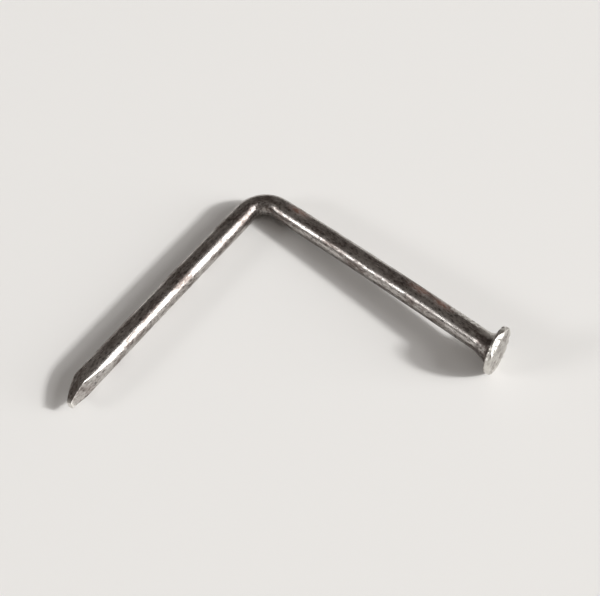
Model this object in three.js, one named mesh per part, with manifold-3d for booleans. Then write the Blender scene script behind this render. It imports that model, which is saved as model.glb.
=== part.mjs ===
// A round wire nail, bent over its middle, lying as it would on a table.
// Millimetres, +Z up. The nail is measured along its own middle line, from the top of the head.
import * as THREE from "three";
import { mergeVertices } from "three/addons/utils/BufferGeometryUtils.js";
import Module from "manifold-3d";

// The straight nail.
const SHANK_D = 3.8; // the wire it is made from
const NAIL_LENGTH = 98; // head to point, along the wire
const HEAD_D = 8.1;
const HEAD_T = 1.1; // flat top to the start of the underside cone
const HEAD_BEVEL = 0.26; // the worn edge of the flat top
const UNDERSIDE_DROP = 0.45; // how far the underside cone falls from rim to wire
const FLARE_D = 5.2; // the forged cone where the wire swells into the head
const FLARE_LENGTH = 2.6;

// The point: four facets meeting at a small blunt end.
const POINT_LENGTH = 11.5;
const POINT_END_D = 0.9;
const POINT_BULGE = 0.12; // how far the facets swell past straight, as a share of the wire
const POINT_OFFSET = 1.05; // the end lies off the middle line, towards the inside of the bend
const POINT_HOOK = 4; // the power of the turn towards that end: the higher, the later it turns
const POINT_TURN_DEG = 22; // a corner is turned from straight up, towards the inside of the bend

// The marks of the jaws that held the wire while the head was struck.
const GRIP_START = 5.1;
const GRIP_PITCH = 1.15;
const GRIP_MARKS = 5;
const GRIP_ROUND_D = 1.3; // each mark is a round trough
const GRIP_DEPTH = 0.12;
const GRIP_TURN_DEG = 35; // turned from straight up, towards the outside of the bend

// The damage.
const BEND_AT = 48.9; // middle of the bend, from the top of the head
const BEND_R = 4.1; // to the middle line
const BEND_DEG = 93.6;
const HEAD_LEG_BOW_DEG = 2.2; // the legs are not quite straight
const POINT_LEG_BOW_DEG = 1.2;
const PINCH_INSIDE = 0.2; // the section is squeezed inside the bend, and less so outside
const PINCH_OUTSIDE = 0.06;
const PINCH_WIDEN = 0.03;
const HEAD_CANT_DEG = 12; // the head is knocked out of square
const DENT_ROUND_D = 5.5; // a hammer's edge has left shallow hollows in the head
const DENT_DEPTH = 0.28;
const FACET_TURN_DEG = 20; // one blow flattened the rim: from straight up, to the inside of the bend
const FACET_TILT_DEG = 40; // leaning back from the flat top
const FACET_DEPTH = 0.6;

// How it lies: the direction of the wire as it leaves the head, seen from above.
const HEAD_LEG_HEADING_DEG = 137.5;

// Mesh fineness.
const ROUND_STEPS = 36;
const BEND_STEPS = 18;
const LEG_STEPS = 9;
const OVERLAP = 0.6; // how deep joined solids reach into each other

const rad = THREE.MathUtils.degToRad;
const SHANK_R = SHANK_D / 2;
const HEAD_R = HEAD_D / 2;

const wasm = await Module();
wasm.setup();

// A three.js geometry as a solid.
function solid(geometry) {
  const bare = geometry.index ? geometry.toNonIndexed() : geometry.clone();
  bare.deleteAttribute("normal");
  bare.deleteAttribute("uv");
  const merged = mergeVertices(bare, 1e-4);
  return new wasm.Manifold(
    new wasm.Mesh({
      numProp: 3,
      vertProperties: merged.attributes.position.array,
      triVerts: new Uint32Array(merged.index.array),
    }),
  );
}

// The middle line is three arcs in a row: head leg, bend, point leg.
const bendLength = BEND_R * rad(BEND_DEG);
const bendStart = BEND_AT - bendLength / 2;
const bendEnd = BEND_AT + bendLength / 2;
const arcs = [
  { from: 0, to: bendStart, turn: rad(HEAD_LEG_BOW_DEG) },
  { from: bendStart, to: bendEnd, turn: rad(BEND_DEG) },
  { from: bendEnd, to: NAIL_LENGTH, turn: rad(POINT_LEG_BOW_DEG) },
];

// The frame at a distance along the nail: x to the inside of the bend, y along the wire, z down.
function frameAt(distance) {
  const at = new THREE.Vector3();
  let heading = rad(HEAD_LEG_HEADING_DEG);
  for (const { from, to, turn } of arcs) {
    const run = THREE.MathUtils.clamp(distance - from, 0, to - from);
    const turned = (turn * run) / (to - from);
    const chord = turned ? (2 * run * Math.sin(turned / 2)) / turned : 0;
    const along = heading + turned / 2;
    at.x += chord * Math.cos(along);
    at.y += chord * Math.sin(along);
    heading += turned;
  }
  return new THREE.Matrix4()
    .makeBasis(
      new THREE.Vector3(-Math.sin(heading), Math.cos(heading), 0),
      new THREE.Vector3(Math.cos(heading), Math.sin(heading), 0),
      new THREE.Vector3(0, 0, -1),
    )
    .setPosition(at);
}

// How strongly the wire is squeezed at a distance along the nail, 0 to 1.
function squeeze(distance) {
  const away = Math.abs(distance - BEND_AT) / (bendLength * 0.75);
  return away < 1 ? Math.cos((away * Math.PI) / 2) ** 2 : 0;
}

// Lays a shape modelled straight along y over the bent middle line.
function bend(geometry) {
  const points = geometry.attributes.position;
  const p = new THREE.Vector3();
  for (let i = 0; i < points.count; i++) {
    p.fromBufferAttribute(points, i);
    const w = squeeze(p.y);
    const frame = frameAt(p.y);
    p.x *= 1 - w * (p.x > 0 ? PINCH_INSIDE : PINCH_OUTSIDE);
    p.z *= 1 + w * PINCH_WIDEN;
    p.y = 0;
    p.applyMatrix4(frame);
    points.setXYZ(i, p.x, p.y, p.z);
  }
  return geometry;
}

// The wire with its flare, one ring of points at each stated distance.
function wire() {
  const top = HEAD_T - OVERLAP;
  const flareEnd = HEAD_T + UNDERSIDE_DROP + FLARE_LENGTH;
  const rings = [
    [0, top],
    [FLARE_D / 2, top],
    [FLARE_D / 2, HEAD_T],
    [(FLARE_D + 2 * SHANK_D) / 6, (HEAD_T + flareEnd) / 2],
    [SHANK_R, flareEnd],
  ];
  for (let i = 1; i < LEG_STEPS; i++) {
    rings.push([SHANK_R, flareEnd + ((bendStart - flareEnd) * i) / LEG_STEPS]);
  }
  for (let i = 0; i <= BEND_STEPS; i++) {
    rings.push([SHANK_R, bendStart + (bendLength * i) / BEND_STEPS]);
  }
  for (let i = 1; i <= LEG_STEPS; i++) {
    rings.push([SHANK_R, bendEnd + ((NAIL_LENGTH - bendEnd) * i) / LEG_STEPS]);
  }
  rings.push([0, NAIL_LENGTH]);
  const profile = rings.map(([r, y]) => new THREE.Vector2(r, y));
  return solid(bend(new THREE.LatheGeometry(profile, ROUND_STEPS)));
}

// The head, knocked over about the middle of its underside, with the hollows struck into its top.
function head() {
  const low = HEAD_T + UNDERSIDE_DROP;
  const profile = [
    [0, 0],
    [HEAD_R - HEAD_BEVEL, 0],
    [HEAD_R, HEAD_BEVEL],
    [HEAD_R, HEAD_T - HEAD_BEVEL],
    [HEAD_R - HEAD_BEVEL, HEAD_T],
    [SHANK_R, low],
    [0, low],
  ].map(([r, y]) => new THREE.Vector2(r, y));
  const place = frameAt(0)
    .multiply(new THREE.Matrix4().makeTranslation(0, HEAD_T, 0))
    .multiply(new THREE.Matrix4().makeRotationZ(-rad(HEAD_CANT_DEG)))
    .multiply(new THREE.Matrix4().makeTranslation(0, -HEAD_T, 0));
  let made = solid(new THREE.LatheGeometry(profile, ROUND_STEPS).applyMatrix4(place));
  const ball = () => new THREE.SphereGeometry(DENT_ROUND_D / 2, 24, 16);
  const dent = ball().translate(-0.55 * HEAD_R, DENT_DEPTH - DENT_ROUND_D / 2, -0.3 * HEAD_R);
  const graze = ball().translate(0.62 * HEAD_R, (DENT_DEPTH - DENT_ROUND_D) / 2, 0.45 * HEAD_R);
  const tilt = rad(FACET_TILT_DEG);
  const facet = new THREE.BoxGeometry(2 * HEAD_D, HEAD_D, 2 * HEAD_D)
    .translate(0, FACET_DEPTH - HEAD_R * Math.sin(tilt) - HEAD_D / 2, 0)
    .rotateX(tilt)
    .rotateY(-rad(FACET_TURN_DEG));
  for (const cutter of [dent, graze, facet]) {
    made = made.subtract(solid(cutter.applyMatrix4(place)));
  }
  return made;
}

// Troughs across two opposite sides of the wire.
function gripMarks() {
  const marks = [];
  for (let i = 0; i < GRIP_MARKS; i++) {
    const place = frameAt(GRIP_START + i * GRIP_PITCH);
    for (const side of [0, Math.PI]) {
      const trough = new THREE.CylinderGeometry(GRIP_ROUND_D / 2, GRIP_ROUND_D / 2, SHANK_D * 1.5, 20);
      trough.rotateZ(Math.PI / 2);
      trough.translate(0, 0, -(SHANK_R + GRIP_ROUND_D / 2 - GRIP_DEPTH));
      trough.rotateY(rad(GRIP_TURN_DEG) + side);
      marks.push(solid(trough.applyMatrix4(place)));
    }
  }
  return marks;
}

// What is pinched away from the end of the wire to leave the four-sided point.
function pointWaste() {
  const steps = 8;
  const profile = [new THREE.Vector2(0, 0)];
  for (let i = 0; i <= steps; i++) {
    const back = i / steps;
    const straight = THREE.MathUtils.lerp(POINT_END_D / 2, SHANK_R, back);
    const swell = POINT_BULGE * SHANK_D * Math.sin(Math.PI * back);
    profile.push(new THREE.Vector2((straight + swell) * Math.SQRT2, POINT_LENGTH * back));
  }
  profile.push(new THREE.Vector2(0, POINT_LENGTH));
  const spear = new THREE.LatheGeometry(profile, 4).rotateY(rad(POINT_TURN_DEG));
  const points = spear.attributes.position;
  for (let i = 0; i < points.count; i++) {
    const forward = Math.max(0, 1 - points.getY(i) / POINT_LENGTH);
    points.setX(i, points.getX(i) + POINT_OFFSET * forward ** POINT_HOOK);
  }
  const block = new THREE.BoxGeometry(4 * SHANK_D, POINT_LENGTH, 4 * SHANK_D);
  block.translate(0, POINT_LENGTH / 2 - OVERLAP, 0);
  const place = frameAt(NAIL_LENGTH).multiply(new THREE.Matrix4().makeRotationX(Math.PI));
  return solid(block.applyMatrix4(place)).subtract(solid(spear.applyMatrix4(place)));
}

let nail = wire().add(head());
for (const waste of [...gripMarks(), pointWaste()]) {
  nail = nail.subtract(waste);
}

// One closed surface for the finished nail.
const mesh = nail.getMesh();
const geometry = new THREE.BufferGeometry();
geometry.setAttribute("position", new THREE.BufferAttribute(new Float32Array(mesh.vertProperties), 3));
geometry.setIndex([...mesh.triVerts]);

// The point leg lies flat, and the nail tips about it until the head's rim meets the table.
const legStart = new THREE.Vector3().setFromMatrixPosition(frameAt(bendEnd));
const legEnd = new THREE.Vector3().setFromMatrixPosition(frameAt(NAIL_LENGTH));
const hinge = legEnd.clone().sub(legStart).normalize();
const fromHinge = legStart.clone().cross(hinge).length();
const tip = Math.asin((HEAD_R - SHANK_R) / fromHinge);
geometry.applyMatrix4(new THREE.Matrix4().makeRotationAxis(hinge, tip));

// The origin is under the middle of the nail, on the table.
geometry.computeBoundingBox();
const middle = geometry.boundingBox.getCenter(new THREE.Vector3());
geometry.translate(-middle.x, -middle.y, -geometry.boundingBox.min.z);
geometry.computeVertexNormals();

const steel = new THREE.MeshStandardMaterial({ color: 0x8a8580, metalness: 1, roughness: 0.35 });
const bentNail = new THREE.Mesh(geometry, steel);
bentNail.name = "bent_nail";
const root = new THREE.Group();
root.add(bentNail);
export default root;
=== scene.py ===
# %% [markdown]
# # A bent nail
# This lesson dresses one small thing: a round wire nail, bent at its middle, lying on a pale table.
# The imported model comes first, as a fixed frame. The nail built here ends in metres, in that frame
# and inside its box, so the box is measured before anything is added.

import math

import bmesh
import bpy
import numpy as np
from mathutils import Matrix, Vector, noise


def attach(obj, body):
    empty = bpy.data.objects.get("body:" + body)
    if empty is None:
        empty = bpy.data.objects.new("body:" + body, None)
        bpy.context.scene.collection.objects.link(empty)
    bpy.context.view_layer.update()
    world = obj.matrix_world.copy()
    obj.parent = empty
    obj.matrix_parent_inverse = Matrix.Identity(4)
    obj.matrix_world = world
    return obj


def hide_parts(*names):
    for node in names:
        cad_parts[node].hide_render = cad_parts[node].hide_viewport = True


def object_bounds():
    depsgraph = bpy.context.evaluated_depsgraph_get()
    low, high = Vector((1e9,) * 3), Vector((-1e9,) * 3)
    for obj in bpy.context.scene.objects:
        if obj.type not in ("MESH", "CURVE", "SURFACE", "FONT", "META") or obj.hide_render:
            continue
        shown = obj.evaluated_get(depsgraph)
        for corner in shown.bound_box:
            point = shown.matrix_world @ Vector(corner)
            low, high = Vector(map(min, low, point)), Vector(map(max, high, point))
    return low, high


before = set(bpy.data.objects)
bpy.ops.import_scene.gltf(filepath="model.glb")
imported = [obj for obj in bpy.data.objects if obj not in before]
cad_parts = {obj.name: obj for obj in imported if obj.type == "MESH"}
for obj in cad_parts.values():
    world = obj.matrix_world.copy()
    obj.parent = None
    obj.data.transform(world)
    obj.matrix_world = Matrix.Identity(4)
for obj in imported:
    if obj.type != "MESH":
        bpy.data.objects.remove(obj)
cad_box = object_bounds()
print("frame box, mm:", [[round(v * 1000, 2) for v in corner] for corner in cad_box])

# %% [markdown]
# ## Sizes
# A nail is made straight and is bent later, so it is modelled the same way. Sizes are in millimetres,
# and places along the wire are counted from the top of the head. The bent shape is scaled to metres
# at the end. A name that ends in R is a radius, and one that ends in T is a thickness.

# %% Sizes of the nail
SHANK_R, LENGTH = 1.9, 98.0
HEAD_R, HEAD_T, BEVEL, UNDERSIDE_DROP = 4.05, 1.1, 0.26, 0.45
FLARE_R, FLARE_LENGTH, FLARE_CURVE = 2.6, 2.6, 2.2
POINT_LENGTH, POINT_END_R, POINT_BULGE = 11.5, 0.45, 0.12
POINT_OFFSET, POINT_HOOK, POINT_TURN = 1.05, 4, math.radians(22)
GRIP_START, GRIP_PITCH, GRIP_MARKS = 5.1, 1.15, 5
GRIP_ROUND_R, GRIP_DEPTH, GRIP_TURN = 0.65, 0.12, math.radians(35)
BEND_AT, BEND_R, BEND_TURN = 48.9, 4.1, math.radians(93.6)
INSIDE_SQUEEZE, OUTSIDE_SQUEEZE, WIDENING = 0.2, 0.06, 0.03
HEAD_LEG_BOW, POINT_LEG_BOW = math.radians(2.2), math.radians(1.2)
HEADING, HEAD_CANT = math.radians(137.5), math.radians(12)
NECK = HEAD_T + UNDERSIDE_DROP
GRIP_END = GRIP_START + GRIP_PITCH * (GRIP_MARKS - 1)
BEND_LENGTH = BEND_R * BEND_TURN
BEND_START, BEND_END = BEND_AT - BEND_LENGTH / 2, BEND_AT + BEND_LENGTH / 2
print("bend runs from", round(BEND_START, 2), "to", round(BEND_END, 2), "mm")

# %% [markdown]
# ## The straight nail as rings
# Wire is round, so the skin of the nail is a stack of rings. Blender could spin a profile, but a stack
# made in code lets each ring be shaped on its own: round on the wire, four-sided at the point.
# First comes the list of rings, each a distance and a radius, close together where the shape is fine.

# %% Ring list from the middle of the head's top to the end of the point
ROUND = 120
FIRST_RING_R = 0.12
WIRE_RING_GAP = 0.21
CONE_SHARE = 0.7


def smooth(t):
    t = min(max(t, 0.0), 1.0)
    return t * t * (3 - 2 * t)


def ring_list():
    quarter = np.linspace(0, math.pi / 2, 5)[1:]
    rings = [(0.0, r) for r in np.linspace(FIRST_RING_R, HEAD_R - BEVEL, 30)]
    for turn in quarter:
        rings.append((BEVEL * (1 - math.cos(turn)), HEAD_R - BEVEL * (1 - math.sin(turn))))
    rings += [(y, HEAD_R) for y in np.linspace(BEVEL, HEAD_T - BEVEL, 6)[1:]]
    for turn in quarter:
        rings.append((HEAD_T - BEVEL * (1 - math.sin(turn)), HEAD_R - BEVEL * (1 - math.cos(turn))))
    for t in np.linspace(0, 1, 12)[1:]:
        y = HEAD_T + t * UNDERSIDE_DROP * CONE_SHARE
        rings.append((y, HEAD_R - BEVEL + t * (FLARE_R - HEAD_R + BEVEL)))
    cone_start = rings[-1][0]
    for t in np.linspace(0, 1, 22)[1:]:
        ease = (1 - t) ** FLARE_CURVE
        y = cone_start + t * (NECK + FLARE_LENGTH - cone_start)
        rings.append((y, SHANK_R + ease * (FLARE_R - SHANK_R)))
    wire = np.arange(NECK + FLARE_LENGTH + 0.2, LENGTH - POINT_LENGTH - 0.3, WIRE_RING_GAP)
    pinched = np.linspace(LENGTH - POINT_LENGTH - 0.2, LENGTH, 110)
    rings += [(y, SHANK_R) for y in (*wire, *pinched)]
    rings += [(LENGTH, SHANK_R * k) for k in (0.75, 0.5, 0.25)]
    return rings


RINGS = ring_list()
print(len(RINGS), "rings of", ROUND, "points")

# %% [markdown]
# ## The point
# Two dies pinch the end of the wire to a four-sided point. Seen end on, the section is a square with
# one corner a little to the inside of straight up, and the wire stays round wherever the square is
# larger than the circle. Each ring near the end takes the smaller of the two, measured from the
# square's own middle. That middle leaves the middle of the wire only towards the very end, because
# this point was pinched unevenly. Its end is blunt.

# %% Section of the point
EDGE_BLEND = 0.09


def point_reach(distance, angle):
    back = (LENGTH - distance) / POINT_LENGTH
    drift = POINT_OFFSET * (1 - back) ** POINT_HOOK
    swell = POINT_BULGE * 2 * SHANK_R * math.sin(math.pi * back)
    corner = (POINT_END_R + (SHANK_R - POINT_END_R) * back + swell) * math.sqrt(2)
    turned = angle - POINT_TURN
    square = corner / (abs(math.cos(turned)) + abs(math.sin(turned)))
    along = drift * math.cos(angle)
    circle = -along + math.sqrt(along * along + SHANK_R**2 - drift**2)
    mix = smooth(0.5 + 0.5 * (circle - square) / EDGE_BLEND)
    return drift, square * mix + circle * (1 - mix) - EDGE_BLEND * 0.5 * mix * (1 - mix)


print("reach at the very end, mm:", round(point_reach(LENGTH, 0.3)[1], 2))

# %% [markdown]
# ## Building the skin
# bmesh makes the rings and joins them with quads, and one fan of triangles closes each end. The ends
# are real geometry, not capped holes, so light sees a closed solid. Each
# point also remembers where it was on the straight nail. That memory is an attribute, and the finish
# uses it later to run scratches along the wire and round the bend.

# %% Straight nail mesh


def ring_points(distance, radius):
    points = []
    for k in range(ROUND):
        angle = 2 * math.pi * k / ROUND
        drift, reach = 0.0, radius
        if distance > LENGTH - POINT_LENGTH:
            drift, reach = point_reach(distance, angle)
            reach *= radius / SHANK_R
        points.append((drift + reach * math.cos(angle), distance, reach * math.sin(angle)))
    return points


def straight_nail():
    bm = bmesh.new()
    rows = [[bm.verts.new(p) for p in ring_points(*ring)] for ring in RINGS]
    for row, following in zip(rows, rows[1:]):
        for k in range(ROUND):
            j = (k + 1) % ROUND
            bm.faces.new((row[k], row[j], following[j], following[k]))
    for row, middle in ((rows[0], (0, 0, 0)), (rows[-1], (POINT_OFFSET, LENGTH, 0))):
        pole = bm.verts.new(middle)
        for k in range(ROUND):
            bm.faces.new((row[k], row[(k + 1) % ROUND], pole))
    bmesh.ops.recalc_face_normals(bm, faces=bm.faces[:])
    mesh = bpy.data.meshes.new("nail")
    bm.to_mesh(mesh)
    bm.free()
    return mesh


nail_mesh = straight_nail()
straight = np.array([v.co[:] for v in nail_mesh.vertices])
memory = nail_mesh.attributes.new("straight", "FLOAT_VECTOR", "POINT")
memory.data.foreach_set("vector", straight.ravel())
print(len(nail_mesh.polygons), "faces,", len(straight), "points")

# %% [markdown]
# ## Damage to the head
# A hammer's edge left two hollows in the flat top. Each is the bite of a ball: any point inside the ball
# is pushed out to its surface. One slanting blow flattened the rim, and there every point above a
# plane is pressed down to it, with a soft edge. A little noise leaves the plane as uneven as a blow does.

# %% Hollows in the head's top
BITES = [
    ((-0.55 * HEAD_R, -1.26, -0.3 * HEAD_R), 1.6),
    ((0.62 * HEAD_R, -1.6, 0.45 * HEAD_R), 1.8),
]
points = straight.copy()
for centre, radius in BITES:
    away = points - centre
    far = np.linalg.norm(away, axis=1)
    inside = far < radius
    points[inside] = centre + away[inside] * (radius / far[inside])[:, None]
    print("bite moved", int(inside.sum()), "points")

# %% The struck facet on the rim
FACET_TURN, FACET_TILT = math.radians(20), math.radians(40)
FACET_DEPTH, FACET_SOFT = 0.6, 0.08
FACET_UNEVEN, FACET_GRAIN, FACET_MARGIN = 0.12, 1.6, 0.3
facet = np.array([-math.sin(FACET_TILT) * math.sin(FACET_TURN), math.cos(FACET_TILT),
                  math.sin(FACET_TILT) * math.cos(FACET_TURN)])
over = FACET_DEPTH - HEAD_R * math.sin(FACET_TILT) - points @ facet
near = np.nonzero(over > -FACET_MARGIN)[0]
over[near] -= [FACET_UNEVEN * abs(noise.noise(Vector(points[i]) * FACET_GRAIN)) for i in near]
press = np.where(over > FACET_SOFT, over, np.maximum(over + FACET_SOFT, 0) ** 2 / (4 * FACET_SOFT))
points += press[:, None] * facet
print("facet moved", int((press > 0).sum()), "points")

# %% [markdown]
# ## The beaten head
# The rim has been beaten until it is uneven, which slow noise round the edge imitates, and the top is
# dimpled by finer noise. Both only ever move inwards, to keep the size. Last, the whole head is
# knocked out of square, and the cone below it follows part of the way.

# %% Beaten rim and dimpled top
RIM_WAVE, RIM_NICK, NICK_GRAIN = 0.025, 0.07, 1.7
SLOW_DISH, QUICK_DISH, SLOW_GRAIN, QUICK_GRAIN = 0.20, 0.22, 0.9, 2.1
for i in np.nonzero(points[:, 1] < NECK)[0]:
    x, y, z = points[i]
    out = math.hypot(x, z)
    edge = smooth((out - 0.6 * HEAD_R) / (0.4 * HEAD_R))
    round_trip = Vector((x, z, 0)).normalized() * 1.3 if out > 1e-6 else Vector()
    beaten = 0.5 + 0.5 * noise.noise(round_trip + Vector((4.1, 0, 0)))
    nicked = max(0.0, noise.noise(Vector((x, z, y)) * NICK_GRAIN + Vector((0, 9.3, 0))))
    shrink = 1 - edge * (RIM_WAVE * beaten + RIM_NICK * nicked)
    slow = max(0.0, noise.noise(Vector((x, z, 3.0)) * SLOW_GRAIN))
    quick = max(0.0, noise.noise(Vector((x, z, 8.0)) * QUICK_GRAIN))
    dish = (SLOW_DISH * slow + QUICK_DISH * quick) * smooth((HEAD_T / 2 - y) / 0.2)
    points[i] = (x * shrink, y + dish, z * shrink)
print("highest point of the beaten top:", round(points[:, 1].min(), 2), "mm down")

# %% The head knocked out of square
cant = np.array([1 - smooth((y - HEAD_T) / FLARE_LENGTH) for y in points[:, 1]]) * -HEAD_CANT
x, y = points[:, 0].copy(), points[:, 1] - HEAD_T
points[:, 0] = x * np.cos(cant) - y * np.sin(cant)
points[:, 1] = x * np.sin(cant) + y * np.cos(cant) + HEAD_T
nail_mesh.vertices.foreach_set("co", points.ravel())
print("head now reaches from", round(points[:, 1].min(), 2), "mm")

# %% [markdown]
# ## Small helpers for node trees
# The next steps build node trees in code. These helpers add a node, set a few of its properties, and
# join sockets. An input may be given as a number, a vector or another node's output. Every geometry
# tree closes in the same way: instances become real points, and the steel is laid on. The steel is
# only a name so far. Its nodes come later.

# %% Helpers that add one node


def add(tree, kind, inputs=None, **settings):
    made = tree.nodes.new(kind)
    for name, value in settings.items():
        setattr(made, name, value)
    for key, value in (inputs or {}).items():
        if isinstance(value, bpy.types.NodeSocket):
            tree.links.new(value, made.inputs[key])
        else:
            made.inputs[key].default_value = value
    return made


def math_node(tree, operation, a, b=0.0, c=0.0, clamp=False):
    made = add(tree, "ShaderNodeMath", {0: a, 1: b, 2: c}, operation=operation, use_clamp=clamp)
    return made.outputs[0]


def plus(tree, a, b):
    return math_node(tree, "ADD", a, b)


def minus(tree, a, b):
    return math_node(tree, "SUBTRACT", a, b)


def times(tree, a, b):
    return math_node(tree, "MULTIPLY", a, b)


def vector_node(tree, operation, a, b=(0, 0, 0), scale=1.0, out=0):
    inputs = {0: a, "Scale": scale} if operation == "SCALE" else {0: a, 1: b}
    return add(tree, "ShaderNodeVectorMath", inputs, operation=operation).outputs[out]


def split(tree, vector):
    return add(tree, "ShaderNodeSeparateXYZ", {0: vector}).outputs


def joined(tree, x, y, z):
    return add(tree, "ShaderNodeCombineXYZ", {0: x, 1: y, 2: z}).outputs[0]


def noise_node(tree, where, scale, detail, roughness):
    inputs = {"Vector": where, "Scale": scale, "Detail": detail, "Roughness": roughness}
    return add(tree, "ShaderNodeTexNoise", inputs).outputs[0]


def ramp(tree, value, low, high, kind="LINEAR"):
    inputs = {"Value": value, "From Min": low, "From Max": high}
    return add(tree, "ShaderNodeMapRange", inputs, interpolation_type=kind).outputs[0]


print("node helpers ready")

# %% [markdown]
# A Mix node has a set of sockets for each kind of value it can mix. Its colours go in at 6 and 7 and
# come out at 2, and the share of the second colour goes in at 0. A tree's own inputs and outputs are
# its interface, which is made from a list of names, kinds and values.

# %% Helpers for colours, interfaces and the end of a tree


def mix_colour(tree, share, under, over):
    return add(tree, "ShaderNodeMix", {0: share, 6: under, 7: over}, data_type="RGBA").outputs[2]


def sockets(tree, ins, outs):
    for name, kind, value in ins:
        made = tree.interface.new_socket(name=name, in_out="INPUT", socket_type="NodeSocket" + kind)
        if value is not None:
            made.default_value = value
    for name, kind in outs:
        tree.interface.new_socket(name=name, in_out="OUTPUT", socket_type="NodeSocket" + kind)
    return tree.nodes.new("NodeGroupInput"), tree.nodes.new("NodeGroupOutput")


steel = bpy.data.materials.new("worn drawn steel")


def close_tree(tree, tail, shaped):
    real = add(tree, "GeometryNodeRealizeInstances", {0: shaped.outputs[0]})
    clad = add(tree, "GeometryNodeSetMaterial", {"Geometry": real.outputs[0], "Material": steel})
    tree.links.new(clad.outputs[0], tail.inputs[0])


print("material:", steel.name)

# %% [markdown]
# ## Marks of the gripping jaws
# While the head is struck, jaws hold the wire and leave short troughs across it on two opposite sides.
# They repeat at an even pitch, so Geometry Nodes make them: the distance to the nearest trough comes
# from rounding, and any point that stands higher than the trough's floor is pressed down to it.

# %% Geometry Nodes: grip marks


def grip_marks_tree():
    tree = bpy.data.node_groups.new("Grip marks", "GeometryNodeTree")
    head, tail = sockets(
        tree,
        [("Geometry", "Geometry", None), ("Start", "Float", GRIP_START), ("Pitch", "Float", GRIP_PITCH),
         ("Marks", "Int", GRIP_MARKS), ("Trough radius", "Float", GRIP_ROUND_R),
         ("Depth", "Float", GRIP_DEPTH), ("Wire radius", "Float", SHANK_R), ("Turn", "Float", GRIP_TURN)],
        [("Geometry", "Geometry")],
    )
    get = head.outputs
    position = add(tree, "GeometryNodeInputPosition").outputs[0]
    steps = math_node(tree, "DIVIDE", minus(tree, split(tree, position)["Y"], get["Start"]), get["Pitch"])
    nearest = math_node(tree, "MAXIMUM", math_node(tree, "ROUND", steps), 0.0)
    nearest = math_node(tree, "MINIMUM", nearest, minus(tree, get["Marks"], 1.0))
    off = times(tree, minus(tree, steps, nearest), get["Pitch"])
    trough = times(tree, get["Trough radius"], get["Trough radius"])
    rise = math_node(tree, "MAXIMUM", minus(tree, trough, times(tree, off, off)), 0.0)
    rise = math_node(tree, "SQRT", rise)
    floor = minus(tree, get["Wire radius"], get["Depth"])
    floor = plus(tree, floor, minus(tree, get["Trough radius"], rise))
    side_x = times(tree, math_node(tree, "SINE", get["Turn"]), -1.0)
    side_z = times(tree, math_node(tree, "COSINE", get["Turn"]), -1.0)
    side = joined(tree, side_x, 0.0, side_z)
    height = vector_node(tree, "DOT_PRODUCT", position, side, out="Value")
    over = math_node(tree, "MAXIMUM", minus(tree, math_node(tree, "ABSOLUTE", height), floor), 0.0)
    push = times(tree, over, math_node(tree, "SIGN", height))
    near = math_node(tree, "LESS_THAN", math_node(tree, "ABSOLUTE", off), get["Trough radius"])
    push = times(tree, times(tree, push, near), -1.0)
    move = vector_node(tree, "SCALE", side, scale=push)
    moved = add(tree, "GeometryNodeSetPosition", {"Geometry": get["Geometry"], "Offset": move})
    close_tree(tree, tail, moved)
    return tree


grip_marks = grip_marks_tree()
print("grip marks:", len(grip_marks.nodes), "nodes")

# %% [markdown]
# ## Wear in the surface
# Drawn wire is never quite smooth: it has long shallow knocks, and puckers where the inside of the bend
# was crushed. One tree adds both along the normals, from noise with fixed values. The knocks are
# stretched along the wire, so that a gleam running down it stays a clean line. The strengths are
# named inputs, so each can be changed on the modifier without opening the tree.

# %% Geometry Nodes: knocks and puckers
KNOCK_DEPTH, KNOCK_SIZE, KNOCK_STRETCH = 0.008, 1.1, 0.22
PUCKER_DEPTH, PUCKER_PITCH, PUCKER_REACH = 0.07, 0.75, 3.4
INNER_FROM, INNER_FULL, PUCKER_WOBBLE = 0.4, 1.6, 5.0


def wear_tree():
    tree = bpy.data.node_groups.new("Knocks and puckers", "GeometryNodeTree")
    head, tail = sockets(
        tree,
        [("Geometry", "Geometry", None), ("Knock depth", "Float", KNOCK_DEPTH),
         ("Knock size", "Float", KNOCK_SIZE), ("Pucker depth", "Float", PUCKER_DEPTH),
         ("Pucker pitch", "Float", PUCKER_PITCH), ("Bend at", "Float", BEND_AT),
         ("Bend reach", "Float", PUCKER_REACH)],
        [("Geometry", "Geometry")],
    )
    get = head.outputs
    position = add(tree, "GeometryNodeInputPosition").outputs[0]
    normal = add(tree, "GeometryNodeInputNormal").outputs[0]
    part = split(tree, position)
    drawn = vector_node(tree, "MULTIPLY", position, (1.0, KNOCK_STRETCH, 1.0))
    lumps = noise_node(tree, drawn, math_node(tree, "DIVIDE", 1.0, get["Knock size"]), 2.0, 0.5)
    knock = math_node(tree, "MAXIMUM", minus(tree, lumps, 0.55), 0.0)
    knock = times(tree, times(tree, knock, -6.0), get["Knock depth"])
    away = math_node(tree, "ABSOLUTE", minus(tree, part["Y"], get["Bend at"]))
    near = ramp(tree, away, get["Bend reach"], 0.0, "SMOOTHSTEP")
    inner = ramp(tree, part["X"], INNER_FROM, INNER_FULL)
    turn = math_node(tree, "DIVIDE", times(tree, part["Y"], 2 * math.pi), get["Pucker pitch"])
    wave = math_node(tree, "SINE", plus(tree, turn, times(tree, lumps, PUCKER_WOBBLE)))
    pucker = times(tree, minus(tree, wave, 1.0), times(tree, get["Pucker depth"], 0.5))
    pucker = times(tree, pucker, times(tree, near, inner))
    move = vector_node(tree, "SCALE", normal, scale=plus(tree, knock, pucker))
    moved = add(tree, "GeometryNodeSetPosition", {"Geometry": get["Geometry"], "Offset": move})
    close_tree(tree, tail, moved)
    return tree


wear = wear_tree()
print("wear:", len(wear.nodes), "nodes")

# %% [markdown]
# ## The middle line
# The bent wire follows three arcs in a row: a slightly bowed leg, a tight bend, another slightly bowed
# leg. The line is drawn as a dense curve, with a short straight run before it, so that the part of the
# knocked head that leans back past the start has a line to follow too.

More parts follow.
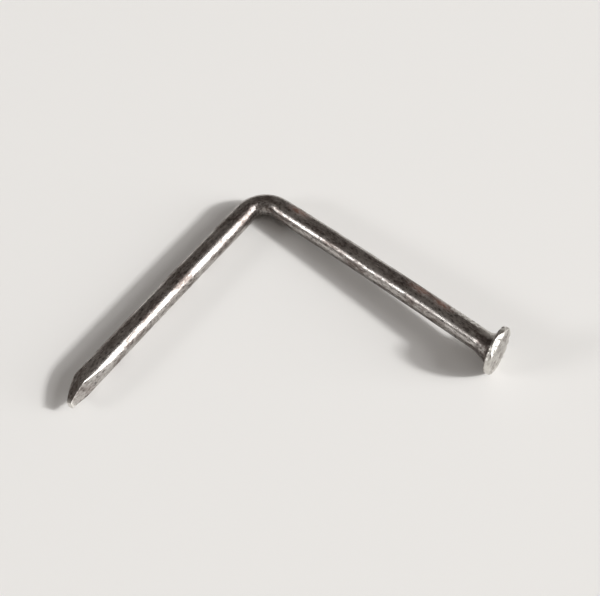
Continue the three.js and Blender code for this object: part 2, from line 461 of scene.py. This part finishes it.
# %% Middle line as a curve
LEAD = 3.0
ARCS = [
    (0.0, BEND_START, HEAD_LEG_BOW),
    (BEND_START, BEND_END, BEND_TURN),
    (BEND_END, LENGTH, POINT_LEG_BOW),
]


def line_at(distance):
    at, heading = Vector((0, 0, 0)), HEADING
    if distance < 0:
        return at + Vector((math.cos(heading), math.sin(heading), 0)) * distance
    for begin, end, turn in ARCS:
        run = min(max(distance - begin, 0.0), end - begin)
        turned = turn * run / (end - begin)
        chord = 2 * run * math.sin(turned / 2) / turned if turned else 0.0
        at += Vector((math.cos(heading + turned / 2), math.sin(heading + turned / 2), 0)) * chord
        heading += turned
    return at


def middle_line():
    curve = bpy.data.curves.new("middle line", "CURVE")
    curve.dimensions = "3D"
    stations = np.concatenate([np.linspace(-LEAD, BEND_START, 120)[:-1],
                               np.linspace(BEND_START, BEND_END, 160)[:-1],
                               np.linspace(BEND_END, LENGTH + 1e-3, 120)])
    spline = curve.splines.new("POLY")
    spline.points.add(len(stations) - 1)
    for point, distance in zip(spline.points, stations):
        point.co = (*line_at(float(distance)), 1)
    made = bpy.data.objects.new("middle line", curve)
    bpy.context.collection.objects.link(made)
    return made


line = middle_line()
print("middle line ends at", [round(v, 2) for v in line_at(LENGTH)])

# %% [markdown]
# ## Bending the nail
# Bending is a rule too: each ring of the straight nail slides to its place on the line and turns square
# to it. Sample Curve gives the place and the direction at a length. Turning the direction a quarter
# round the vertical gives the way to the inside of the bend. On the way the section is squeezed,
# more inside the bend than outside, as real wire is.

# %% Geometry Nodes: lay the nail along its line


def bending_tree():
    tree = bpy.data.node_groups.new("Bend along a line", "GeometryNodeTree")
    head, tail = sockets(
        tree,
        [("Geometry", "Geometry", None), ("Line", "Object", None), ("Lead", "Float", LEAD),
         ("Bend at", "Float", BEND_AT), ("Squeeze reach", "Float", BEND_LENGTH * 0.75),
         ("Inside squeeze", "Float", INSIDE_SQUEEZE), ("Outside squeeze", "Float", OUTSIDE_SQUEEZE),
         ("Widening", "Float", WIDENING)],
        [("Geometry", "Geometry")],
    )
    get = head.outputs
    curve = add(tree, "GeometryNodeObjectInfo", {"Object": get["Line"]}).outputs["Geometry"]
    part = split(tree, add(tree, "GeometryNodeInputPosition").outputs[0])
    length = plus(tree, part["Y"], get["Lead"])
    sample = add(tree, "GeometryNodeSampleCurve", {"Curves": curve, "Length": length}, mode="LENGTH")
    forward = split(tree, sample.outputs["Tangent"])
    inward = joined(tree, times(tree, forward["Y"], -1.0), forward["X"], 0.0)
    away = math_node(tree, "ABSOLUTE", minus(tree, part["Y"], get["Bend at"]))
    away = math_node(tree, "MINIMUM", math_node(tree, "DIVIDE", away, get["Squeeze reach"]), 1.0)
    weight = math_node(tree, "COSINE", times(tree, away, math.pi / 2))
    weight = times(tree, weight, weight)
    inside = math_node(tree, "GREATER_THAN", part["X"], 0.0)
    gap = minus(tree, get["Inside squeeze"], get["Outside squeeze"])
    share = math_node(tree, "MULTIPLY_ADD", inside, gap, get["Outside squeeze"])
    keep = minus(tree, 1.0, times(tree, weight, share))
    wide = math_node(tree, "MULTIPLY_ADD", weight, get["Widening"], 1.0)
    across = vector_node(tree, "SCALE", inward, scale=times(tree, part["X"], keep))
    upright = joined(tree, 0.0, 0.0, times(tree, times(tree, part["Z"], wide), -1.0))
    place = vector_node(tree, "ADD", sample.outputs["Position"], vector_node(tree, "ADD", across, upright))
    bent = add(tree, "GeometryNodeSetPosition", {"Geometry": get["Geometry"], "Position": place})
    close_tree(tree, tail, bent)
    return tree


bending = bending_tree()
print("bending:", len(bending.nodes), "nodes")

# %% [markdown]
# ## Drawing marks
# Pulling wire through a die scores it lengthwise. Noise stretched hard along the wire gives those
# scores. It reads the remembered straight position, so the scores stay parallel to the wire on both
# legs and turn with it at the bend. The group puts out a fine mask and a broad one, because the eye
# sees both the hair lines and the slower bands.

# %% Shader group: drawing marks
LINES_PER_MM, LINE_RUN = 4.0, 0.05


def drawing_marks_group():
    tree = bpy.data.node_groups.new("Drawing marks", "ShaderNodeTree")
    head, tail = sockets(
        tree,
        [("Vector", "Vector", None), ("Lines per mm", "Float", LINES_PER_MM), ("Run", "Float", LINE_RUN)],
        [("Fine", "Float"), ("Broad", "Float")],
    )
    get = head.outputs
    part = split(tree, get["Vector"])
    stretched = joined(tree, part["X"], times(tree, part["Y"], get["Run"]), part["Z"])
    fine = noise_node(tree, stretched, get["Lines per mm"], 4.0, 0.7)
    broad = noise_node(tree, vector_node(tree, "SCALE", stretched, scale=1.6), 1.0, 2.0, 0.5)
    tree.links.new(ramp(tree, fine, 0.3, 0.7), tail.inputs["Fine"])
    tree.links.new(ramp(tree, broad, 0.3, 0.7), tail.inputs["Broad"])
    return tree


drawing_marks = drawing_marks_group()
print("drawing marks:", len(drawing_marks.nodes), "nodes")

# %% [markdown]
# ## Grime and rust
# The wire has a brown-grey skin of old oil and oxide, thick in patches, with dark specks. The group
# turns noise at two sizes into a mask for the skin, one for the specks, and one for the grains between
# them where the skin has worn through. Rust is a mask of its own: a faint scatter everywhere, and
# three blooms at stated places on the upper side of the head leg.

# %% Shader group: grime and rust
SKIN_COVER, RUST_COVER = 0.55, 0.26
GRIME_STRETCH, SKIN_EDGE, RUST_EDGE = 0.35, 0.14, 0.1
SPECK_RANGE, WORN_RANGE = (0.53, 0.62), (0.44, 0.34)
BLOOMS_AT, BLOOM_X, BLOOM_Z, BLOOM_RANGE = (11.8, 16.2, 41.7), -0.5, -1.8, (1.1, 0.2)


def grime_group():
    tree = bpy.data.node_groups.new("Grime and rust", "ShaderNodeTree")
    head, tail = sockets(
        tree,
        [("Vector", "Vector", None), ("Cover", "Float", SKIN_COVER), ("Rust", "Float", RUST_COVER)],
        [("Skin", "Float"), ("Specks", "Float"), ("Worn", "Float"), ("Rust", "Float")],
    )
    get = head.outputs
    drawn = vector_node(tree, "MULTIPLY", get["Vector"], (1.0, GRIME_STRETCH, 1.0))
    patches = noise_node(tree, drawn, 0.55, 6.0, 0.65)
    low = minus(tree, 0.72, times(tree, get["Cover"], 0.5))
    skin = ramp(tree, patches, low, plus(tree, low, SKIN_EDGE))
    grains = noise_node(tree, drawn, 3.8, 3.0, 0.7)
    elsewhere = vector_node(tree, "ADD", get["Vector"], (3.1, 8.6, 1.7))
    scatter = noise_node(tree, elsewhere, 0.6, 5.0, 0.7)
    edge = minus(tree, 0.74, times(tree, get["Rust"], 0.3))
    rust = ramp(tree, scatter, edge, plus(tree, edge, RUST_EDGE))
    for distance in BLOOMS_AT:
        middle = (BLOOM_X, GRIME_STRETCH * distance, BLOOM_Z)
        away = vector_node(tree, "DISTANCE", drawn, middle, out="Value")
        bloom = times(tree, ramp(tree, away, *BLOOM_RANGE), times(tree, grains, 1.7))
        rust = math_node(tree, "MAXIMUM", rust, bloom, clamp=True)
    tree.links.new(skin, tail.inputs["Skin"])
    tree.links.new(ramp(tree, grains, *SPECK_RANGE), tail.inputs["Specks"])
    tree.links.new(ramp(tree, grains, *WORN_RANGE), tail.inputs["Worn"])
    tree.links.new(rust, tail.inputs["Rust"])
    return tree


grime = grime_group()
print("grime:", len(grime.nodes), "nodes")

# %% [markdown]
# ## Where the metal is rubbed, and where shade is painted
# Blows have cleaned the head's top and rim, handling has cleaned the high ridges between the grip
# marks and the outer side of the neck, and the tip is bright. The rest of the corner under the head
# is darkened with painted shade, for the shadow that falls there. A texture could be painted by hand, but
# both are rules about places on the straight nail, so each point gets them as attributes from 0 to 1,
# which stay with it when it is bent. Each pair of numbers is a place, and the distance over which the rub
# or the painted shade fades there, in millimetres. Only the side of the neck is given as a share of the
# radius.

# %% Places of the rubs
TOP_DEPTH, EDGE_FROM, RIM_FROM, HOLLOW_TO = (0.35, 0.3), (2.7, 0.9), (3.6, 0.3), (1.15, 0.5)
NECK_FROM, NECK_TO, NECK_SIDE = (1.3, 0.4), (4.8, 0.8), (0.7, 0.2)
RIDGE_FROM, JAW_MARGIN, JAW_FADE = (1.72, 0.14), 0.8, 0.4
TIP_FROM = (LENGTH - 0.9, 0.8)


def rising(value, start, over):
    return smooth((value - start) / over)


def falling(value, end, over):
    return smooth((end - value) / over)


def outward(x, z):
    return -x * math.sin(GRIP_TURN) - z * math.cos(GRIP_TURN)


def neck_rub(x, y, z):
    share = outward(x, z) / max(math.hypot(x, z), 0.1)
    return rising(share, *NECK_SIDE) * rising(y, *NECK_FROM) * falling(y, *NECK_TO)


def ridge_rub(x, y, z):
    between = 0.5 - 0.5 * math.cos(2 * math.pi * (y - GRIP_START) / GRIP_PITCH)
    gripped = rising(y, GRIP_START - JAW_MARGIN, JAW_FADE) * falling(y, GRIP_END + JAW_MARGIN, JAW_FADE)
    return rising(abs(outward(x, z)), *RIDGE_FROM) * between * gripped


outer_x, outer_z = -SHANK_R * math.sin(GRIP_TURN), -SHANK_R * math.cos(GRIP_TURN)
print("neck rub at its middle:", round(neck_rub(outer_x, 3.0, outer_z), 2))

# %% Rubbed metal


def top_rub(x, y, z):
    out = math.hypot(x, z)
    patchy = smooth(0.5 + 1.6 * noise.noise(Vector((x, z, 5.0)) * 0.8))
    struck = falling(y, *TOP_DEPTH) * (0.15 + 0.5 * patchy + 0.35 * rising(out, *EDGE_FROM))
    hollow = max(falling(math.dist((x, z), (at[0], at[2])), *HOLLOW_TO) for at, _ in BITES)
    rim = rising(out, *RIM_FROM) * falling(y, HEAD_T, 0.5)
    return max(struck * (1 - 0.75 * hollow), rim)


def rubbed(x, y, z):
    return max(top_rub(x, y, z), rising(y, *TIP_FROM), ridge_rub(x, y, z), 0.7 * neck_rub(x, y, z))


bare = np.array([rubbed(*place) for place in straight])
print("bare points:", int((bare > 0.5).sum()))

# %% Painted shade under the head
# Painted shade: darker in patches in the corner under the head, where shade falls.
SHADE_FROM, SHADE_TO, SHADE_GRAIN = (HEAD_T, 0.3), (4.4, 2.2), 2.3


def shade_under_head(x, y, z):
    shade_patches = smooth(0.8 + 1.5 * noise.noise(Vector((x, y, z)) * SHADE_GRAIN))
    return rising(y, *SHADE_FROM) * falling(y, *SHADE_TO) * (1 - neck_rub(x, y, z)) * shade_patches


painted_shade = np.array([shade_under_head(*place) for place in straight])
for name, values in (("bare", bare), ("painted_shade", painted_shade)):
    nail_mesh.attributes.new(name, "FLOAT", "POINT").data.foreach_set("value", values)
print("shade_painted points:", int((painted_shade > 0.5).sum()))

# %% [markdown]
# ## The steel
# One metal covers the whole nail, because it is one piece of wire. Its own colour is a warm grey, in
# bands. Each mask then lays one tint over what is below it: the brown skin, dark specks, worn grains,
# rust, and last the rubbed metal. Bare metal holds less grime, so it thins the skin, the specks and the
# rust. The painted shade under the head does the opposite: it lays the skin and speck tints there as
# painted shade, and hides the grains.
# Colours are linear red, green, blue and alpha.

# %% Colour of the steel
DIM_BAND, PALE_BAND = (0.40, 0.375, 0.355, 1), (0.60, 0.575, 0.55, 1)
TINTS = {
    "skin": (0.17, 0.135, 0.12, 1),
    "specks": (0.06, 0.052, 0.05, 1),
    "worn": (0.66, 0.64, 0.61, 1),
    "rust": (0.24, 0.10, 0.055, 1),
    "bare": (0.74, 0.72, 0.68, 1),
}


def steel_masks(tree, dirt, bright):
    # The next mask is the painted shade in the corner under the head.
    shade_share = add(tree, "ShaderNodeAttribute", attribute_name="painted_shade").outputs["Fac"]
    dull = minus(tree, 1.0, times(tree, bright, 0.8))
    skin = times(tree, dirt["Skin"], times(tree, dull, 0.85))
    # The skin and speck masks also take that painted shade, and the worn grains give way to it.
    skin = math_node(tree, "MAXIMUM", skin, times(tree, shade_share, 0.95))
    specks = times(tree, dirt["Specks"], times(tree, dull, 0.75))
    specks = math_node(tree, "MAXIMUM", specks, times(tree, shade_share, 0.6))
    worn = times(tree, dirt["Worn"], times(tree, minus(tree, 1.0, shade_share), 0.7))
    rust = times(tree, dirt["Rust"], times(tree, dull, 0.6))
    bare_share = times(tree, bright, math_node(tree, "MULTIPLY_ADD", specks, -0.9, 1.0))
    return {"skin": skin, "specks": specks, "worn": worn, "rust": rust, "bare": bare_share}


def steel_colour(tree, broad, masks):
    colour = mix_colour(tree, broad, DIM_BAND, PALE_BAND)
    for name, mask in masks.items():
        colour = mix_colour(tree, mask, colour, TINTS[name])
    return colour


print("tints over the bands, in order:", ", ".join(TINTS))

# %% [markdown]
# ## Gloss and bump
# Clean drawn wire is smooth. The skin, the fine drawing marks and the rubbing each roughen it a little,
# and rust roughens it most. The bump carries what is too fine to model. One unit of its height is
# 0.02 mm, and drawing marks and specks stay within two units. On bare metal a slower noise is much
# higher and looks like the facets of many blows.

# %% Roughness and bump of the steel
CLEAN_ROUGHNESS, SKIN_ROUGHNESS, MARK_ROUGHNESS = 0.2, 0.16, 0.08
BARE_ROUGHNESS, RUST_ROUGHNESS = 0.12, 0.4
BUMP_DISTANCE, BUMP_STRENGTH = 0.00002, 0.2
BROAD_HEIGHT, SPECK_HEIGHT, BEATEN_HEIGHT = 0.5, -0.5, 28.0


def steel_roughness(tree, masks, fine, bright):
    rough = math_node(tree, "MULTIPLY_ADD", masks["skin"], SKIN_ROUGHNESS, CLEAN_ROUGHNESS)
    rough = math_node(tree, "MULTIPLY_ADD", fine, MARK_ROUGHNESS, rough)
    rough = math_node(tree, "MULTIPLY_ADD", bright, BARE_ROUGHNESS, rough)
    return math_node(tree, "MULTIPLY_ADD", masks["rust"], RUST_ROUGHNESS, rough, clamp=True)


def steel_normal(tree, where, marks, specks, bright):
    height = math_node(tree, "MULTIPLY_ADD", marks["Broad"], BROAD_HEIGHT, marks["Fine"])
    height = math_node(tree, "MULTIPLY_ADD", specks, SPECK_HEIGHT, height)
    beaten = times(tree, noise_node(tree, where, 2.4, 3.0, 0.6), bright)
    height = math_node(tree, "MULTIPLY_ADD", beaten, BEATEN_HEIGHT, height)
    inputs = {"Strength": BUMP_STRENGTH, "Distance": BUMP_DISTANCE, "Height": height}
    return add(tree, "ShaderNodeBump", inputs).outputs[0]


print("roughness of clean wire:", CLEAN_ROUGHNESS, "under skin:", CLEAN_ROUGHNESS + SKIN_ROUGHNESS)

# %% [markdown]
# ## Putting the steel together
# Both groups read the remembered straight position. The material gives each its own values, and the
# shader takes the four results. Rust is no metal, so it takes metal away.

# %% Steel material


def fill_steel():
    steel.use_nodes = True
    tree = steel.node_tree
    where = add(tree, "ShaderNodeAttribute", attribute_name="straight").outputs["Vector"]
    bright = add(tree, "ShaderNodeAttribute", attribute_name="bare").outputs["Fac"]
    marks = add(tree, "ShaderNodeGroup", node_tree=drawing_marks)
    dirt = add(tree, "ShaderNodeGroup", node_tree=grime)
    for group in (marks, dirt):
        tree.links.new(where, group.inputs["Vector"])
    marks.inputs["Lines per mm"].default_value = LINES_PER_MM
    dirt.inputs["Cover"].default_value = SKIN_COVER
    dirt.inputs["Rust"].default_value = RUST_COVER
    masks = steel_masks(tree, dirt.outputs, bright)
    results = {
        "Base Color": steel_colour(tree, marks.outputs["Broad"], masks),
        "Metallic": minus(tree, 1.0, times(tree, masks["rust"], 0.7)),
        "Roughness": steel_roughness(tree, masks, marks.outputs["Fine"], bright),
        "Normal": steel_normal(tree, where, marks.outputs, dirt.outputs["Specks"], bright),
    }
    for name, result in results.items():
        tree.links.new(result, tree.nodes["Principled BSDF"].inputs[name])


fill_steel()
print("steel:", len(steel.node_tree.nodes), "nodes")

# %% [markdown]
# ## Running the trees
# The three trees run as modifiers, one after the other: marks, wear, bend. Each input is found by its
# socket's identifier, because names need not be unique. The result is read from the evaluated object
# as a plain mesh, and the modifiers go, so the finished nail is only points, faces and attributes.

# %% Straight nail in, bent nail out


def with_tree(target, tree, values):
    modifier = target.modifiers.new(tree.name, "NODES")
    modifier.node_group = tree
    names = {item.name: item.identifier for item in tree.interface.items_tree if item.in_out == "INPUT"}
    for name, value in values.items():
        modifier[names[name]] = value


source = bpy.data.objects.new("straight nail", nail_mesh)
bpy.context.collection.objects.link(source)
with_tree(source, grip_marks, {"Marks": GRIP_MARKS, "Depth": GRIP_DEPTH})
with_tree(source, wear, {"Knock depth": KNOCK_DEPTH, "Pucker depth": PUCKER_DEPTH})
with_tree(source, bending, {"Line": line, "Lead": LEAD})
evaluated = source.evaluated_get(bpy.context.evaluated_depsgraph_get())
bent = bpy.data.meshes.new_from_object(evaluated)
for used in (source, line):
    bpy.data.objects.remove(used)
print("bent mesh:", len(bent.vertices), "points,", len(bent.polygons), "faces")

# %% [markdown]
# ## Laying it down
# The nail rests on its point leg and on the rim of its head, so its plane tips about the point leg.
# After that it is scaled to metres and slid so that its box has the same middle and floor as the
# frame's box. The slide is measured, not guessed, and the two sizes are printed side by side.

# %% Rest pose, in metres
leg = (line_at(LENGTH) - line_at(BEND_END)).normalized()
reach = line_at(BEND_END).cross(leg).length
tip = math.asin((HEAD_R - SHANK_R) / reach)
bent.transform(Matrix.Scale(0.001, 4) @ Matrix.Rotation(tip, 4, leg))
cloud = np.array([v.co[:] for v in bent.vertices])
low, high = cloud.min(0), cloud.max(0)
cad_low, cad_high = np.array(cad_box[0]), np.array(cad_box[1])
slide = (cad_low + cad_high) / 2 - (low + high) / 2
slide[2] = cad_low[2] - low[2]
bent.transform(Matrix.Translation(Vector(slide)))
print("nail size, mm:", np.round((high - low) * 1000, 2))
print("frame size, mm:", np.round((cad_high - cad_low) * 1000, 2))

# %% [markdown]
# ## The finished piece
# The nail is one stiff piece, so it is one object with its place in its mesh. Its many small faces are
# shaded smooth, as drawn wire looks. It rides on the frame's one body and stands in for the plain nail.

# %% The finished piece
for face in bent.polygons:
    face.use_smooth = True
bent.name = "worn_nail"
nail = bpy.data.objects.new("worn_nail", bent)
bpy.context.collection.objects.link(nail)
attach(nail, "root")
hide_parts("bent_nail")
print("piece:", nail.name, "with", [slot.name for slot in nail.material_slots])

# %% [markdown]
# ## Table
# The nail lies on a plain pale table. It is nearly matt, so that it shows the nail's shadow and hardly
# mirrors the lamps. A single wide square is enough.

# %% Floor
TABLE_HALF = 3


def pale_floor():
    bm = bmesh.new()
    for x, y in ((-1, -1), (1, -1), (1, 1), (-1, 1)):
        bm.verts.new((x * TABLE_HALF, y * TABLE_HALF, 0))
    bm.faces.new(bm.verts[:])
    mesh = bpy.data.meshes.new("floor")
    bm.to_mesh(mesh)
    bm.free()
    floor = bpy.data.objects.new("floor", mesh)
    paper = bpy.data.materials.new("pale table")
    paper.use_nodes = True
    shader = paper.node_tree.nodes["Principled BSDF"]
    shader.inputs["Base Color"].default_value = (0.80, 0.79, 0.77, 1)
    shader.inputs["Roughness"].default_value = 0.85
    shader.inputs["Specular IOR Level"].default_value = 0.2
    mesh.materials.append(paper)
    bpy.context.collection.objects.link(floor)


pale_floor()
print("floor laid,", 2 * TABLE_HALF, "m wide")

# %% [markdown]
# ## Lamps
# Metal shows what is around it, so the lamps matter more than the paint. A wide lamp low on the right
# makes the broad gleam down the point leg, and a small bulb behind it, unseen by the metal, sharpens
# the shadow. A narrow strip low on the left makes the thin line on the head leg. A weak lamp overhead,
# unseen too, opens the shadows. The three at the sides stand far off, so that none of them leaves a
# bright patch on the table. The room is dim, which gives the dark band on top of both legs.

# %% Lamps and room


def lamp(name, toward, distance, width, height, watts, mirrored=True):
    toward = Vector(toward).normalized()
    data = bpy.data.lights.new(name, "AREA")
    data.shape = "RECTANGLE"
    data.size, data.size_y, data.energy = width, height, watts
    made = bpy.data.objects.new(name, data)
    side = Vector((0, 0, 1)).cross(toward).normalized()
    up = toward.cross(side)
    facing = Matrix((side, up, toward)).transposed().to_4x4()
    made.matrix_world = Matrix.Translation(toward * distance) @ facing
    made.visible_glossy = mirrored
    bpy.context.collection.objects.link(made)


lamp("right window", (0.95, -0.17, 0.44), 8.0, 4.0, 6.0, 500.0)
lamp("right bulb", (0.95, -0.21, 0.54), 9.6, 0.96, 0.96, 800.0, mirrored=False)
lamp("left strip", (-0.911, -0.203, 0.358), 8.0, 2.4, 1.2, 160.0)
lamp("overhead", (0.05, 0.1, 1), 4.0, 3.5, 3.5, 12.5, mirrored=False)

world = bpy.data.worlds.new("dim room")
bpy.context.scene.world = world
world.use_nodes = True
world.node_tree.nodes["Background"].inputs["Color"].default_value = (0.15, 0.135, 0.125, 1)

# %% [markdown]
# ## Camera
# The photograph looks down at the nail from its front. The angle, the distance and the focal length
# were found by laying the nail's own points over the photograph. The lens is that focal length, in
# pixels, as a share of the picture's width, on Blender's sensor of 36 mm.

# %% Camera at the photograph's angle
ELEVATION, AZIMUTH = math.radians(54.77), math.radians(-0.10)
FOCAL_PX, WIDTH_PX, SENSOR = 1471, 600, 36
TARGET, DISTANCE = Vector((0.0014, 0.0012, 0)), 0.2393
camera_data = bpy.data.cameras.new("camera")
camera_data.lens = FOCAL_PX / WIDTH_PX * SENSOR
camera_data.clip_start = 0.01
camera = bpy.data.objects.new("camera", camera_data)
turn = Matrix.Rotation(AZIMUTH, 4, "Z") @ Matrix.Rotation(math.pi / 2 - ELEVATION, 4, "X")
camera.matrix_world = Matrix.Translation(TARGET) @ turn @ Matrix.Translation((0, 0, DISTANCE))
bpy.context.collection.objects.link(camera)
bpy.context.scene.camera = camera
bpy.context.scene.view_settings.view_transform = "Standard"
print("camera at", [round(v, 4) for v in camera.matrix_world.translation])
